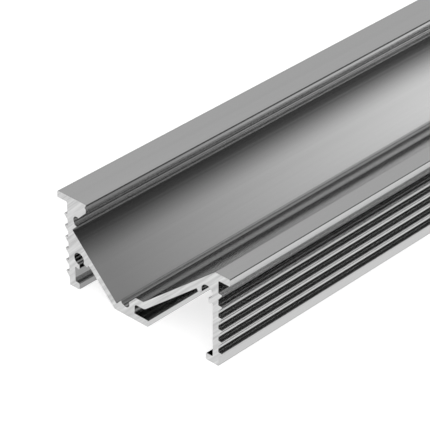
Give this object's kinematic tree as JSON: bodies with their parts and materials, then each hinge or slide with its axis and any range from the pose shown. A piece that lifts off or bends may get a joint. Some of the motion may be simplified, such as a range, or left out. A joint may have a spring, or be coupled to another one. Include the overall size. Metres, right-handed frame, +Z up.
{
  "type": "led strip profile",
  "caption": "Extruded aluminium section for a plastered-in LED light line: 45 degree strip seat, diffuser grooves, sloped reflector, flanges, toothed side walls and screw channels.",
  "frame": {"origin": "middle of the box round the part, at the plane of its feet", "axes": "+Y along the length away from the pictured end, +X across from the shoulder side to the reflector side, +Z up from the feet to the flanges"},
  "size_m": [0.044, 1, 0.02],
  "materials": {
    "aluminium": "satin extruded faces, bright sawn ends"
  },
  "bodies": {
    "root": {"profile": "aluminium"}
  },
  "joints": []
}
